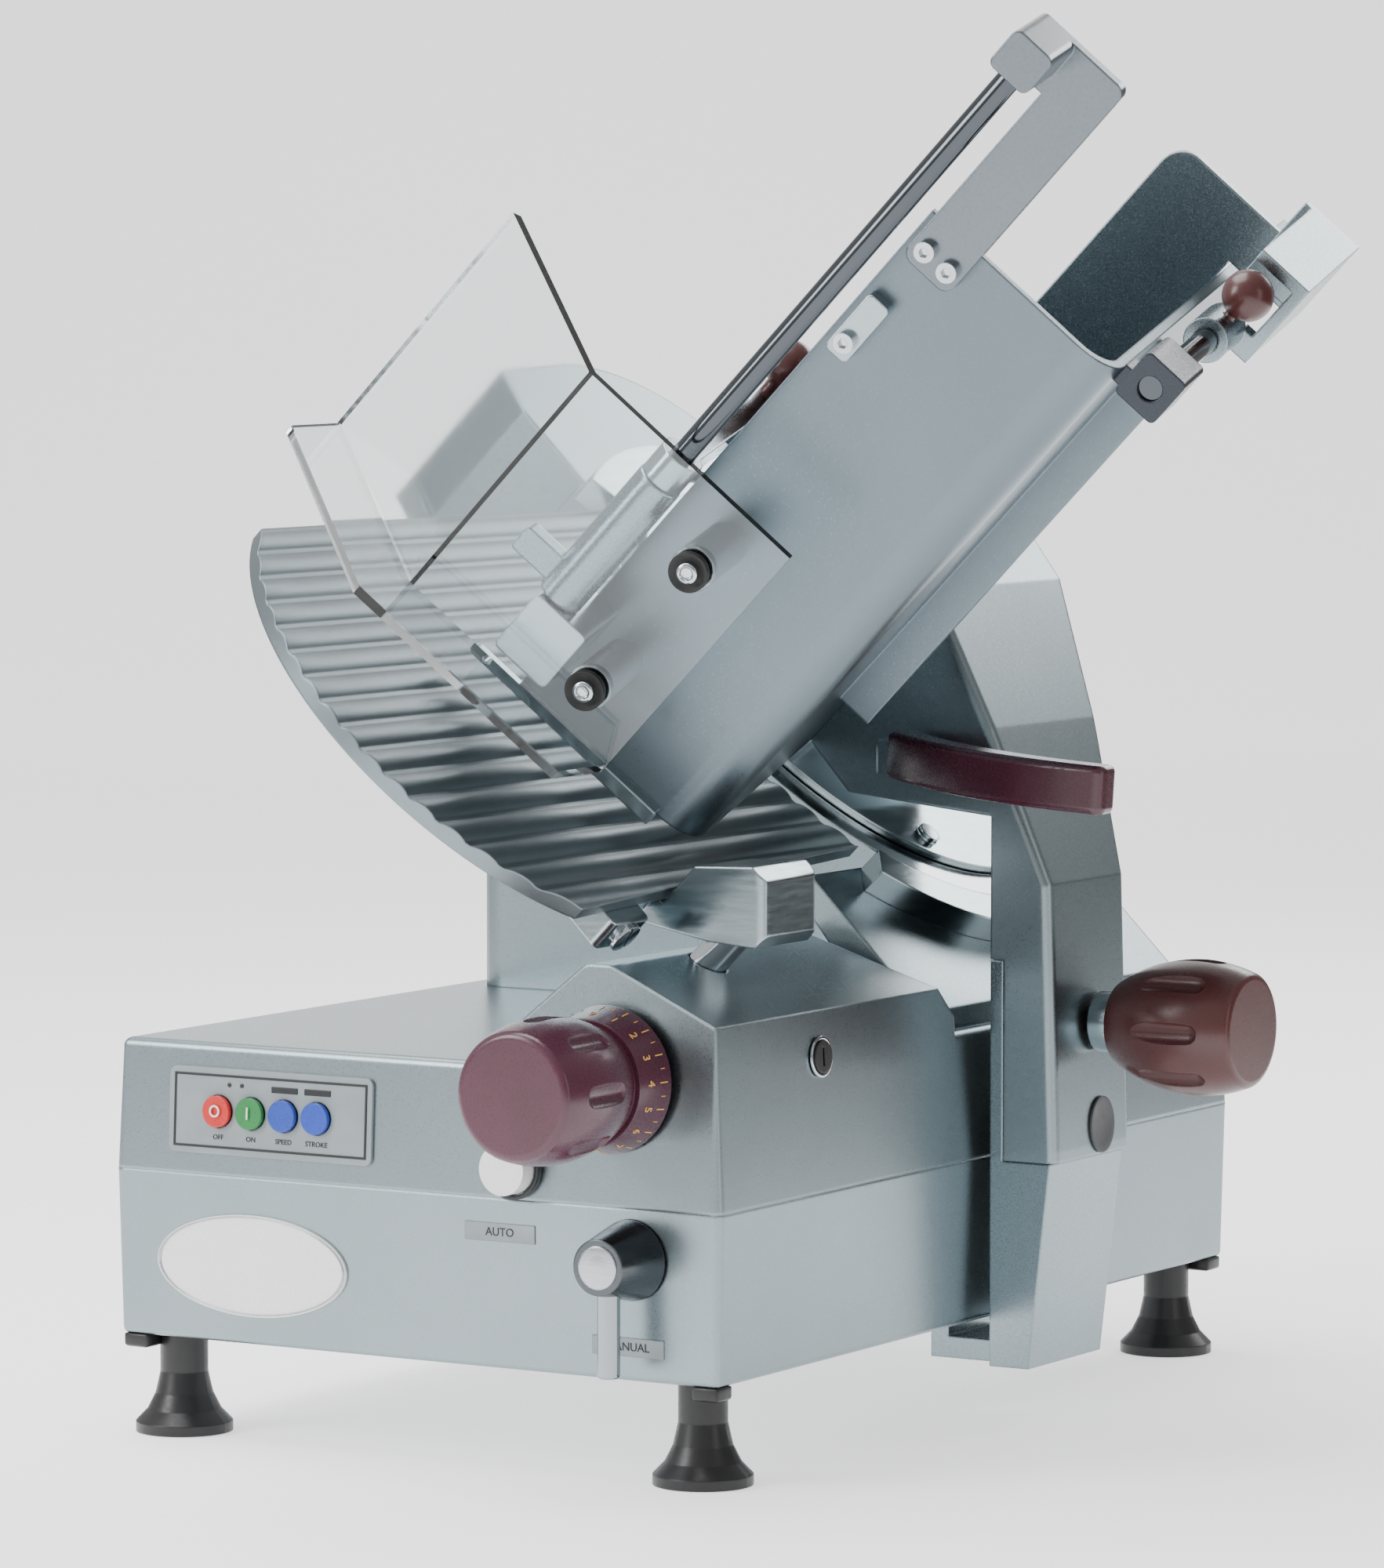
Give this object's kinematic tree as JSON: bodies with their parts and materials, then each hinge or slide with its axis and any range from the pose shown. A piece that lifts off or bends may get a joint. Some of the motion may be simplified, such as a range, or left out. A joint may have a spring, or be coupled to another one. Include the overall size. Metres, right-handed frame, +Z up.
{
  "type": "deli meat slicer",
  "caption": "Gravity-feed deli slicer: tilted round blade and gauge plate on a boxed base, sliding food tray on a side arm, clear guard, pusher, thickness dial and key panel.",
  "frame": {"origin": "on the counter top, under the middle of the base", "axes": "+X to the operator's right (carriage side), +Y away from the operator, +Z up"},
  "size_m": [0.6009, 0.637, 0.6948],
  "materials": {
    "badge_film": "white",
    "belt_rubber": "ribbed",
    "blade_steel": "ground and polished",
    "blue_plastic": "blue",
    "board": "circuit board",
    "bronze": "turned bronze",
    "cast_polished": "brushed and polished",
    "cast_satin": "satin anodised casting",
    "chrome_rod": "polished",
    "clear_plastic": "clear acrylic",
    "foot_rubber": "black",
    "green_plastic": "green",
    "grey_plastic": "grey",
    "handle_plastic": "dark brown",
    "knob_plastic": "dark aubergine brown",
    "motor_paint": "dark grey",
    "panel_film": "grey membrane",
    "plain_steel": "machined",
    "red_plastic": "red",
    "stone": "abrasive stone"
  },
  "bodies": {
    "machine": {"lower_shell": "cast_satin", "upper_shell": "cast_satin", "bottom_plate": "plain_steel", "feet": "foot_rubber", "control_panel": "panel_film", "badge_plate": "badge_film", "side_lock": "cast_satin", "control_board": "board", "head_casting": "cast_satin", "ring_guard": "cast_polished", "blade_cover": "cast_polished", "blade_motor": "motor_paint", "blade_bearings": "plain_steel", "blade_belt": "belt_rubber", "slide_rod": "chrome_rod", "stroke_motor": "motor_paint", "stroke_belt": "belt_rubber", "gauge_bush": "bronze"},
    "blade_set": {"blade": "blade_steel", "blade_hub": "plain_steel", "blade_pulley": "plain_steel"},
    "motor_rotor": {"motor_pulley": "plain_steel"},
    "gauge": {"gauge_plate": "cast_satin", "gauge_arm": "cast_satin", "gauge_shaft": "plain_steel"},
    "thickness_dial": {"thickness_knob": "knob_plastic", "thickness_cam": "plain_steel"},
    "mode_lever": {"lever_hub": "knob_plastic", "lever_bar": "chrome_rod"},
    "power_switch": {"switch_knob": "knob_plastic"},
    "off_key": {"off_button": "red_plastic"},
    "on_key": {"on_button": "green_plastic"},
    "speed_key": {"speed_button": "grey_plastic"},
    "stroke_key": {"stroke_button": "blue_plastic"},
    "sharpener": {"sharpener_cover": "cast_satin"},
    "stone_front": {"sharpening_stone": "stone"},
    "stone_back": {"truing_stone": "stone"},
    "carriage": {"slider_block": "cast_polished", "carriage_foot": "cast_polished"},
    "tray_arm": {"carriage_arm": "cast_satin", "handle_bar": "handle_plastic", "tray": "cast_polished", "tray_lip": "cast_polished", "rod_bracket": "cast_polished", "guide_rod": "chrome_rod", "rod_blocks": "cast_polished", "guard_standoffs": "cast_polished", "clear_guard": "clear_plastic", "carriage_screws": "plain_steel", "fence_rod": "chrome_rod", "fence_clamp": "cast_polished"},
    "arm_lock": {"lock_knob": "knob_plastic"},
    "pusher_carrier": {"pusher_sleeve": "cast_polished"},
    "pusher": {"pusher_plate": "cast_polished", "pusher_knob": "knob_plastic"},
    "fence": {"fence_plate": "cast_polished", "fence_bracket": "cast_polished"},
    "fence_lock": {"fence_knob": "knob_plastic"},
    "drive_wheel": {"drive_pulley": "plain_steel"},
    "idler_wheel": {"idler_pulley": "plain_steel"}
  },
  "joints": [
    {"name": "blade_spin", "type": "hinge", "parent": "machine", "child": "blade_set", "pos_m": [0.032, 0.102, 0.36], "axis": [0.7071, 0, 0.7071], "continuous": true},
    {"name": "motor_spin", "type": "hinge", "parent": "machine", "child": "motor_rotor", "pos_m": [0.02705, 0.122, 0.23767], "axis": [0.7071, 0, 0.7071], "continuous": true},
    {"name": "thickness_turn", "type": "hinge", "parent": "machine", "child": "thickness_dial", "pos_m": [0.114, -0.265, 0.1943], "axis": [0, -1, 0], "range_deg": [0, 330]},
    {"name": "gauge_slide", "type": "slide", "parent": "machine", "child": "gauge", "axis": [0.7071, 0, 0.7071], "range_m": [-0.015, 0]},
    {"name": "lever_turn", "type": "hinge", "parent": "machine", "child": "mode_lever", "pos_m": [0.126, -0.266, 0.1085], "axis": [0, 1, 0], "range_deg": [0, 90]},
    {"name": "switch_turn", "type": "hinge", "parent": "machine", "child": "power_switch", "pos_m": [0.0605, -0.265, 0.1485], "axis": [0, 1, 0], "range_deg": [0, 90]},
    {"name": "off_press", "type": "slide", "parent": "machine", "child": "off_key", "axis": [0, 0.9986, -0.0523], "range_m": [0, 0.002], "stiffness_N_per_m": 300},
    {"name": "on_press", "type": "slide", "parent": "machine", "child": "on_key", "axis": [0, 0.9986, -0.0523], "range_m": [0, 0.002], "stiffness_N_per_m": 300},
    {"name": "speed_press", "type": "slide", "parent": "machine", "child": "speed_key", "axis": [0, 0.9986, -0.0523], "range_m": [0, 0.002], "stiffness_N_per_m": 300},
    {"name": "stroke_press", "type": "slide", "parent": "machine", "child": "stroke_key", "axis": [0, 0.9986, -0.0523], "range_m": [0, 0.002], "stiffness_N_per_m": 300},
    {"name": "sharpener_lift", "type": "slide", "parent": "machine", "child": "sharpener", "axis": [-0.7071, 0, 0.7071], "range_m": [0, 0.035]},
    {"name": "stone_front_spin", "type": "hinge", "parent": "sharpener", "child": "stone_front", "pos_m": [-0.14867, 0.104, 0.45652], "axis": [0.7071, 0, 0.7071], "continuous": true},
    {"name": "stone_back_spin", "type": "hinge", "parent": "sharpener", "child": "stone_back", "pos_m": [-0.14867, 0.16, 0.45652], "axis": [0.7071, 0, 0.7071], "continuous": true},
    {"name": "carriage_slide", "type": "slide", "parent": "machine", "child": "carriage", "axis": [0, 1, 0], "range_m": [-0.09, 0.17]},
    {"name": "arm_lift", "type": "slide", "parent": "carriage", "child": "tray_arm", "axis": [0, 0, 1], "range_m": [0, 0.06]},
    {"name": "lock_turn", "type": "hinge", "parent": "tray_arm", "child": "arm_lock", "pos_m": [0.26, 0.035, 0.2], "axis": [1, 0, 0], "range_deg": [0, 270]},
    {"name": "pusher_slide", "type": "slide", "parent": "tray_arm", "child": "pusher_carrier", "axis": [0.7071, 0, 0.7071], "range_m": [0, 0.24]},
    {"name": "pusher_swing", "type": "hinge", "parent": "pusher_carrier", "child": "pusher", "pos_m": [0.14733, -0.26192, 0.48509], "axis": [0.7071, 0, 0.7071], "range_deg": [0, 50]},
    {"name": "fence_slide", "type": "slide", "parent": "tray_arm", "child": "fence", "axis": [-0.2067, 0.9563, 0.2067], "range_m": [-0.048, 0.02]},
    {"name": "fence_lock_turn", "type": "hinge", "parent": "fence", "child": "fence_lock", "pos_m": [0.35495, -0.08586, 0.56031], "axis": [0.7071, 0, 0.7071], "range_deg": [0, 360]},
    {"name": "drive_pulley_spin", "type": "hinge", "parent": "machine", "child": "drive_wheel", "pos_m": [0.095, 0.212, 0.078], "axis": [1, 0, 0], "range_deg": [-545, 290]},
    {"name": "idler_pulley_spin", "type": "hinge", "parent": "machine", "child": "idler_wheel", "pos_m": [0.095, -0.212, 0.078], "axis": [1, 0, 0], "range_deg": [-545, 290]}
  ],
  "couplings": [
    {"joint": "motor_spin", "follows": "blade_spin", "ratio": 3},
    {"joint": "gauge_slide", "follows": "thickness_turn", "m_per_rad": -0.0026},
    {"joint": "drive_pulley_spin", "follows": "carriage_slide", "rad_per_m": -55.556},
    {"joint": "idler_pulley_spin", "follows": "carriage_slide", "rad_per_m": -55.556}
  ]
}
